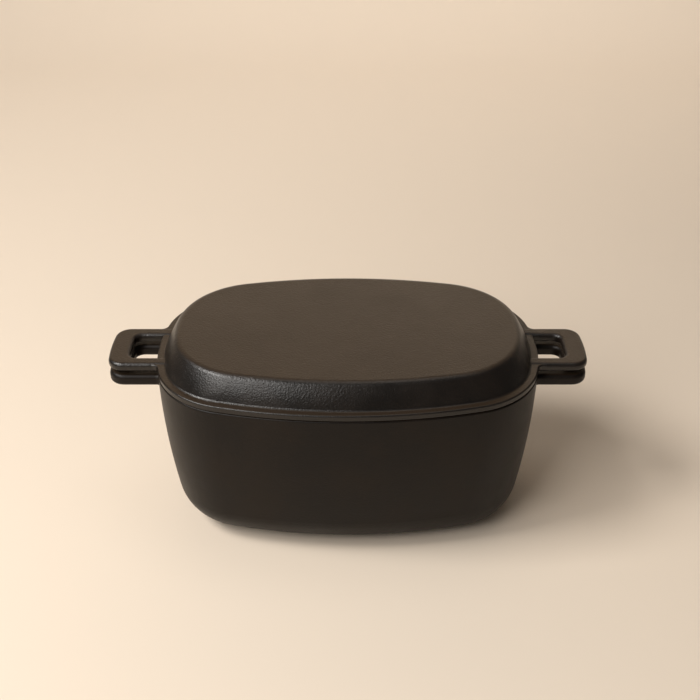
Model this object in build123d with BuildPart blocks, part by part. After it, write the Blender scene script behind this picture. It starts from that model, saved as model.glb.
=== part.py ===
from build123d import *
import os

# Cast iron pot with a shallow lid that is also a pan. Each is one casting with a loop
# handle at either end. Millimetres, Z up. The origin is the middle of the underside of
# the base, and X runs from handle to handle.

# Rim outline, seen from above: four broad arcs with rounded corners
rim_length = 263.0
rim_width = 168.0
long_side_radius = 350.0
end_radius = 145.0
corner_setback = 27.0    # half the rim's width less this is the radius of its corners

# Pot
rim_height = 118.0
draw_in = 13.0           # how far the wall leans in from the rim down to the base
wall_bulge = 3.1         # how far the wall bulges out from a straight lean at half height
wall_levels = 4          # heights at which the wall's outline is drawn
base_round = 32.0
pot_wall = 4.2
base_thickness = 5.0
rim_edge_round = 1.1

# Lid
seat_gap = 0.3           # between the rim and the lid's flange that rests on it
lid_rise = 21.3          # from the pot's rim to the lid's flat top
lid_wall = 4.0
lid_lean = 9.2           # how far the lid's wall leans in on its way up
lid_bulge = 0.9          # how far it bulges out from a straight lean at half height
lid_levels = 4           # heights at which its outline is drawn
lid_corner_growth = 13.0 # how much rounder the corners are at the top than at the ledge
lid_round = 5.6          # from the lid's wall to its flat top
flange_thickness = 4.5
flange_edge_round = 1.2
flange_stub = 3.6        # how far the flange runs out along the arms of the handles
ledge_width = 5.3        # from the flange's edge in to the lid's wall
ledge_root_round = 1.6   # from the ledge up to the lid's wall
lip_depth = 2.6          # the lip under the flange keeps the lid from sliding off
lip_clearance = 0.8      # between the lip and the inside of the pot
lip_edge_round = 0.8

# Loop handles, alike in plan on the pot and on the lid
handle_span = 330.0      # over both handles, end to end
handle_width = 47.9
hole_over_grip = 4.3     # how much deeper the finger hole is than the grip beyond it is wide
arm_width = 9.4
grip_bow_radius = 150.0
handle_corner = 10.5
finger_hole_corner = 5.5
root_round = 5.0         # where the arms flare into the wall
root_depth = 1.5         # how far a handle is set into the wall behind it
lid_handle_thickness = 6.6
lid_handle_edge_round = 2.7
lid_handle_hang = 1.4    # how far the lid's handles reach down past the pot's rim
rim_clearance = 0.8      # between that part of the handles and the outside of the rim
pot_handle_thickness = 8.6
pot_handle_edge_round = 3.0
pot_handle_drop = 4.1    # from the rim down to the top of the pot's handles

# Worked out from the sizes above
corner_radius = rim_width / 2 - corner_setback
long_side_centre = rim_width / 2 - long_side_radius
end_centre = rim_length / 2 - end_radius
grip_centre = handle_span / 2 - grip_bow_radius
grip_width = ((handle_span - rim_length) / 2 - hole_over_grip) / 2
hole_width = handle_width - 2 * arm_width
lid_bottom = rim_height + seat_gap
flange_top = lid_bottom + flange_thickness
lid_top = rim_height + lid_rise
pot_handle_top = rim_height - pot_handle_drop


def wall_inset(height):
    # How far the outside of the pot's wall stands in from the rim at a height
    drop = 1 - height / rim_height
    return draw_in * drop - wall_bulge * 4 * drop * (1 - drop)


def outline(height, inset, corner_growth=0):
    # The rim's outline at a height, moved in by the same distance all round. The corners can
    # be rounder than the rim's
    with BuildSketch(Plane.XY.offset(height)) as shape:
        with Locations((0, long_side_centre)):
            Circle(long_side_radius - inset)
        with Locations((0, -long_side_centre)):
            Circle(long_side_radius - inset, mode=Mode.INTERSECT)
        with Locations((end_centre, 0)):
            Circle(end_radius - inset, mode=Mode.INTERSECT)
        with Locations((-end_centre, 0)):
            Circle(end_radius - inset, mode=Mode.INTERSECT)
        fillet(shape.vertices(), corner_radius - inset + corner_growth)
    return shape.sketch


def bar_plan(side, width, radius):
    # A bar along X with a bowed outer end. Its inner end lies inside the body
    with BuildSketch() as bar:
        with Locations((side * handle_span / 4, 0)):
            Rectangle(handle_span / 2, width)
        with Locations((side * grip_centre, 0)):
            Circle(radius, mode=Mode.INTERSECT)
    return bar.sketch


def outer_corners(sketch, side):
    return sketch.vertices().sort_by(Axis.X)[::side][-2:]


def loop_plan(side):
    # One loop handle seen from above
    with BuildSketch() as loop:
        add(bar_plan(side, handle_width, grip_bow_radius))
        fillet(outer_corners(loop, side), handle_corner)
        with BuildSketch(mode=Mode.PRIVATE) as hole:
            add(bar_plan(side, hole_width, grip_bow_radius - grip_width))
            fillet(outer_corners(hole, side), finger_hole_corner)
        add(hole.sketch, mode=Mode.SUBTRACT)
    return loop.sketch


def flare_plan(side, inset):
    # Rounds the outer corners between the arms and the outline at an inset
    wall_radius = end_radius - inset
    round_y = handle_width / 2 + root_round
    round_x = end_centre + ((wall_radius + root_round) ** 2 - round_y ** 2) ** 0.5
    touch_y = round_y * wall_radius / (wall_radius + root_round)
    filled = touch_y - handle_width / 2 + root_depth
    with BuildSketch() as flares:
        for arm in (-1, 1):
            with Locations((side * (round_x - root_round), arm * (touch_y - filled / 2))):
                Rectangle(2 * root_round, filled)
            with Locations((side * round_x, arm * round_y)):
                Circle(root_round, mode=Mode.SUBTRACT)
    return flares.sketch


def flared_plan(inset):
    # The outline at an inset with both loops grown out of it
    with BuildSketch() as plan:
        for side in (-1, 1):
            add(loop_plan(side))
            add(flare_plan(side, inset))
        add(outline(0, inset))
    return plan.sketch


def wall_sections(thickness, floor):
    # Outlines of the pot's wall, moved in by a thickness, from a floor up to the rim
    heights = [floor + (rim_height - floor) * level / (wall_levels - 1) for level in range(wall_levels)]
    return [outline(height, wall_inset(height) + thickness) for height in heights]


def lid_sections(thickness):
    # Outlines of the lid's wall, moved in by a thickness, from the ledge up to the top
    sections = []
    for level in range(lid_levels):
        rise = level / (lid_levels - 1)
        height = flange_top + (lid_top - thickness - flange_top) * rise
        inset = ledge_width + lid_lean * rise - lid_bulge * 4 * rise * (1 - rise) + thickness
        sections.append(outline(height, inset, lid_corner_growth * rise))
    return sections


# Pot
with BuildPart() as pot_hollow:
    loft(wall_sections(pot_wall, base_thickness))
    fillet(pot_hollow.edges().group_by(Axis.Z)[0], base_round - pot_wall)

with BuildPart() as pot_loops:
    extrude(flared_plan(wall_inset(pot_handle_top) + root_depth), pot_handle_thickness)
    fillet(pot_loops.faces().filter_by(Axis.Z).edges(), pot_handle_edge_round)

with BuildPart() as pot:
    loft(wall_sections(0, 0))
    fillet(pot.edges().group_by(Axis.Z)[0], base_round)
    with Locations((0, 0, pot_handle_top - pot_handle_thickness)):
        add(pot_loops.part)
    add(pot_hollow.part, mode=Mode.SUBTRACT)
    fillet(pot.faces().sort_by(Axis.Z)[-1].edges(), rim_edge_round)
pot.part.label = "pot"

# Lid
with BuildPart() as lid_hollow:
    loft(lid_sections(lid_wall))
    fillet(lid_hollow.edges().group_by(Axis.Z)[-1], lid_round - lid_wall)
    extrude(outline(lid_bottom - 2 * lip_depth, ledge_width + lid_wall), 2 * lip_depth + flange_thickness)

with BuildPart() as lid_loops:
    extrude(loop_plan(-1) + loop_plan(1), lid_handle_thickness)
    fillet(lid_loops.faces().filter_by(Axis.Z).edges(), lid_handle_edge_round)
    extrude(outline(0, -rim_clearance), lid_handle_hang, mode=Mode.SUBTRACT)

with BuildPart() as lip:
    extrude(outline(lid_bottom - lip_depth, pot_wall + lip_clearance), lip_depth + flange_thickness / 2)
    fillet(lip.edges().group_by(Axis.Z)[0], lip_edge_round)

with BuildPart() as dome:
    loft(lid_sections(0))
    fillet(dome.edges().group_by(Axis.Z)[-1], lid_round)
    extrude(outline(flange_top - flange_thickness / 2, ledge_width), flange_thickness / 2)

with BuildPart() as flange:
    with BuildSketch() as flange_plan:
        add(flared_plan(0))
        Rectangle(rim_length + 2 * flange_stub, rim_width, mode=Mode.INTERSECT)
    extrude(amount=flange_thickness)
    fillet(flange.faces().filter_by(Axis.Z).edges(), flange_edge_round)

with BuildPart() as lid:
    with Locations((0, 0, lid_bottom)):
        add(flange.part)
    add(dome.part)
    ledge = lid.faces().filter_by(Axis.Z).filter_by_position(Axis.Z, flange_top - 0.01, flange_top + 0.01)
    fillet(ledge[0].inner_wires()[0].edges(), ledge_root_round)
    add(lip.part)
    with Locations((0, 0, lid_bottom - lid_handle_hang)):
        add(lid_loops.part)
    add(lid_hollow.part, mode=Mode.SUBTRACT)
lid.part.label = "lid"

os.makedirs("parts", exist_ok=True)
export_step(pot.part, "parts/pot.step")
export_step(lid.part, "parts/lid.step")
for piece in (pot, lid):
    print(piece.part.label, "volume", round(piece.part.volume), "solids", len(piece.part.solids()))
    print(piece.part.bounding_box())
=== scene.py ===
import math
import bpy
from mathutils import Matrix, Vector

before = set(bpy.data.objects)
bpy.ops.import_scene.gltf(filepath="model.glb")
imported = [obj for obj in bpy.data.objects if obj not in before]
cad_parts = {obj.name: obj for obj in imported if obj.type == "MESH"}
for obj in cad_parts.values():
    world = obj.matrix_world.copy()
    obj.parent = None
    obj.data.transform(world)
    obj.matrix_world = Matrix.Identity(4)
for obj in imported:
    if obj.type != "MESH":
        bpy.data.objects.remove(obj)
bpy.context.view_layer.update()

mm = 0.001   # the scene is in metres


def linearColour(hexColour):
    # sRGB hex to the linear colour that nodes take
    parts = [int(hexColour[i:i + 2], 16) / 255 for i in (1, 3, 5)]
    return [c / 12.92 if c <= 0.04045 else ((c + 0.055) / 1.055) ** 2.4 for c in parts] + [1.0]


def addNode(tree, kind, settings=None, links=None):
    # Adds a node, gives its settings and inputs their values, and joins inputs to other nodes' outputs
    node = tree.nodes.new(kind)
    for name, value in (settings or {}).items():
        if hasattr(node, name):
            setattr(node, name, value)
        else:
            node.inputs[name].default_value = value
    for name, source in (links or {}).items():
        tree.links.new(source, node.inputs[name])
    return node


# Camera, fitted to the outlines of the pot in the photograph. It faces along +Y and looks down
camera = {
    "aimX": 1.5 * mm, "aimZ": 119.7 * mm,
    "distance": 800 * mm,                        # to the point it aims at, assumed before the fit
    "pitchDegrees": 32.3,
    "focalPixels": 1146.1, "framePixels": 700,   # focal length and picture width in the picture's pixels
    "sensor": 36.0,                              # its width in millimetres
    "nearestSeen": 10 * mm,
}


def placeCamera(c):
    data = bpy.data.cameras.new("photoCamera")
    data.sensor_width = c["sensor"]
    data.sensor_fit = "HORIZONTAL"
    data.lens = c["sensor"] * c["focalPixels"] / c["framePixels"]
    data.clip_start = c["nearestSeen"]
    eye = bpy.data.objects.new("photoCamera", data)
    bpy.context.scene.collection.objects.link(eye)
    pitch = math.radians(c["pitchDegrees"])
    aim = Vector((c["aimX"], 0, c["aimZ"]))
    away = Vector((0, -math.cos(pitch), math.sin(pitch)))
    turn = Matrix.Rotation(math.pi / 2 - pitch, 4, "X")
    eye.matrix_world = Matrix.Translation(aim + away * c["distance"]) @ turn
    bpy.context.scene.camera = eye


placeCamera(camera)
bpy.context.scene.view_settings.view_transform = "Standard"
print("camera placed")


# Plain pale floor that sweeps up behind the pot, and the world round it
studio = {
    "floorColour": "#E9DAC8", "floorRoughness": 0.9, "floorShine": 0.2,
    "halfWidth": 2.2, "front": -1.7, "back": 0.95, "height": 2.2,
    "sweepRadius": 0.55, "sweepSteps": 24,
    "worldColour": "#F2EDE6", "worldStrength": 0.10,
    "horizonColour": "#DCCAB3",                  # what the camera sees past the floor's edge
}


def makeFloor(s):
    # Back along the ground, round the sweep and up
    profile = [(s["front"], 0.0), (s["back"], 0.0)]
    for step in range(1, s["sweepSteps"] + 1):
        angle = math.pi / 2 * step / s["sweepSteps"]
        y = s["back"] + s["sweepRadius"] * math.sin(angle)
        profile.append((y, s["sweepRadius"] * (1 - math.cos(angle))))
    profile.append((s["back"] + s["sweepRadius"], s["height"]))
    verts = [(side * s["halfWidth"], y, z) for y, z in profile for side in (-1, 1)]
    faces = [(2 * i, 2 * i + 1, 2 * i + 3, 2 * i + 2) for i in range(len(profile) - 1)]
    mesh = bpy.data.meshes.new("floor")
    mesh.from_pydata(verts, [], faces)
    for face in mesh.polygons:
        face.use_smooth = True
    floor = bpy.data.objects.new("floor", mesh)
    bpy.context.scene.collection.objects.link(floor)
    # Uncoated paper off a roll is matt, so it shows little but the fall of the light
    paper = bpy.data.materials.new("matt_backdrop_paper")
    paper.use_nodes = True
    shader = paper.node_tree.nodes["Principled BSDF"]
    shader.inputs["Base Color"].default_value = linearColour(s["floorColour"])
    shader.inputs["Roughness"].default_value = s["floorRoughness"]
    shader.inputs["Specular IOR Level"].default_value = s["floorShine"]
    mesh.materials.append(paper)


def setWorld(s):
    world = bpy.data.worlds.new("studio")
    bpy.context.scene.world = world
    world.use_nodes = True
    tree = world.node_tree
    glow = tree.nodes["Background"]
    glow.inputs["Color"].default_value = linearColour(s["worldColour"])
    glow.inputs["Strength"].default_value = s["worldStrength"]
    horizon = addNode(tree, "ShaderNodeBackground", {"Color": linearColour(s["horizonColour"])})
    seen = addNode(tree, "ShaderNodeLightPath").outputs["Is Camera Ray"]
    both = addNode(tree, "ShaderNodeMixShader", links={0: seen, 1: glow.outputs[0], 2: horizon.outputs[0]})
    tree.links.new(both.outputs[0], tree.nodes["World Output"].inputs["Surface"])


# Soft lamps: the key at the left, a fill at the front, a faint one above and one on the backdrop
lamps = {
    # name: place, aim, size across and along, spread in degrees, watts, colour
    "softboxLeft": ((-1.03, -0.29, 1.33), (0, 0, 0.06), (0.6, 0.6), 180, 19.8, "#FFFCF8"),
    "softboxFront": ((-0.78, -0.98, 1.07), (0, 0, 0.1), (0.8, 0.8), 180, 13.0, "#FFFCF8"),
    "softboxAbove": ((0.10, 0.15, 1.55), (0, 0, 0.1), (0.9, 0.6), 180, 2.2, "#FFFCF8"),
    "backdropGlow": ((0.45, 0.70, 1.45), (0.3, 1.45, 0.55), (1.6, 0.4), 110, 4.6, "#FFFAF4"),
}


def addLamp(name, place, aim, size, spread, watts, colour):
    data = bpy.data.lights.new(name, "AREA")
    data.shape = "RECTANGLE"
    data.size, data.size_y = size
    data.spread = math.radians(spread)
    data.energy = watts
    data.color = linearColour(colour)[:3]
    lamp = bpy.data.objects.new(name, data)
    bpy.context.scene.collection.objects.link(lamp)
    toward = Vector(aim) - Vector(place)
    turn = toward.to_track_quat("-Z", "Y").to_matrix().to_4x4()
    lamp.matrix_world = Matrix.Translation(Vector(place)) @ turn


makeFloor(studio)
setWorld(studio)
for name, values in lamps.items():
    addLamp(name, *values)
print("studio lit")


# Cast iron, sand cast, shot blasted and seasoned with baked oil. To the eye it is nearly black
# brown and satin, with the mould's pebbly grain, a slightly uneven face and brown smudges of oil
seasoning = {
    # the same on both castings. For each pattern: the detail and the roughness of its noise
    "noises": {"smudge": (5.0, 0.6), "uneven": (2.0, 0.5), "grain": (2.0, 0.55)},
    "smudgeStart": 0.42, "smudgeFull": 0.68,     # along the smudges' noise, which runs from 0 to 1
    "shineStart": 0.3, "shineEnd": 0.7,          # along the same noise, from roughMin to roughMax
    # painted reflection of the warm backdrop on level faces: where it starts and where it is full
    "paintedSheenStart": 0.8, "paintedSheenFull": 0.99,          # how level a face is: 0 is upright and 1 is level
}


def castIron(name, s):
    material = bpy.data.materials.new(name)
    material.use_nodes = True
    tree = material.node_tree
    shader = tree.nodes["Principled BSDF"]
    shader.inputs["IOR"].default_value = s["ior"]
    coordinates = addNode(tree, "ShaderNodeTexCoord").outputs["Object"]
    noises = {}
    for pattern, (detail, roughness) in seasoning["noises"].items():
        settings = {"Scale": 1 / (s[pattern + "Mm"] * mm), "Detail": detail, "Roughness": roughness}
        noise = addNode(tree, "ShaderNodeTexNoise", settings, {"Vector": coordinates})
        noises[pattern] = noise.outputs["Fac"]

    # Brown smudges on the black coat of oil
    smudged = addNode(tree, "ShaderNodeMapRange",
                      {"From Min": seasoning["smudgeStart"], "From Max": seasoning["smudgeFull"]},
                      {"Value": noises["smudge"]})
    oiled = addNode(tree, "ShaderNodeMix",
                    {"data_type": "RGBA",
                     "A": linearColour(s["oilColour"]), "B": linearColour(s["smudgeColour"])},
                    {"Factor": smudged.outputs["Result"]})

    # Painted reflection: faces that lie level are painted lighter and warmer, as if mirroring the warm
    # backdrop
    normal = addNode(tree, "ShaderNodeNewGeometry").outputs["Normal"]
    upward = addNode(tree, "ShaderNodeSeparateXYZ", links={"Vector": normal}).outputs["Z"]
    level = addNode(tree, "ShaderNodeMapRange",
                    {"From Min": seasoning["paintedSheenStart"], "From Max": seasoning["paintedSheenFull"]},
                    {"Value": upward})
    sheenPainted = addNode(tree, "ShaderNodeMix", {"data_type": "RGBA", "B": linearColour(s["paintedSheenColour"])},
                     {"Factor": level.outputs["Result"], "A": oiled.outputs["Result"]})
    tree.links.new(sheenPainted.outputs["Result"], shader.inputs["Base Color"])

    # The smudges are a little rougher than the bare coat
    rough = addNode(tree, "ShaderNodeMapRange",
                    {"From Min": seasoning["shineStart"], "From Max": seasoning["shineEnd"],
                     "To Min": s["roughMin"], "To Max": s["roughMax"]},
                    {"Value": noises["smudge"]})
    tree.links.new(rough.outputs["Result"], shader.inputs["Roughness"])

    # Grain of the sand on top of the uneven face
    uneven = addNode(tree, "ShaderNodeBump",
                     {"Distance": s["unevenDepthMm"] * mm},
                     {"Height": noises["uneven"]})
    grain = addNode(tree, "ShaderNodeBump",
                    {"Distance": s["grainDepthMm"] * mm},
                    {"Height": noises["grain"], "Normal": uneven.outputs["Normal"]})
    tree.links.new(grain.outputs["Normal"], shader.inputs["Normal"])
    return material


def coat(piece, material):
    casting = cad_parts[piece]
    casting.data.materials.clear()
    casting.data.materials.append(material)


pot = {
    # the third colour is a painted reflection of the warm backdrop, laid on level faces
    "oilColour": "#100B08", "smudgeColour": "#19120C", "paintedSheenColour": "#2A2016",
    "ior": 1.30,                                 # baked oil is about 1.48, but this coat is duller
    "roughMin": 0.38, "roughMax": 0.50,
    "smudgeMm": 42.0,
    "unevenMm": 20.0, "unevenDepthMm": 0.10,
    "grainMm": 1.1, "grainDepthMm": 0.14,        # the sand's own grain is too fine to show: drawn coarser
}
coat("pot", castIron("pot_seasoned_sand_cast_iron", pot))
print("pot finished")

lid = {
    # the third colour is a painted reflection of the warm backdrop, laid on level faces
    "oilColour": "#110D0A", "smudgeColour": "#1C1510", "paintedSheenColour": "#2D2217",
    "ior": 1.48,                                 # that of baked oil
    "roughMin": 0.27, "roughMax": 0.40,
    "smudgeMm": 42.0,
    "unevenMm": 20.0, "unevenDepthMm": 0.10,
    "grainMm": 1.1, "grainDepthMm": 0.22,        # drawn coarser, as on the pot
}
coat("lid", castIron("lid_seasoned_sand_cast_iron", lid))
print("lid finished")
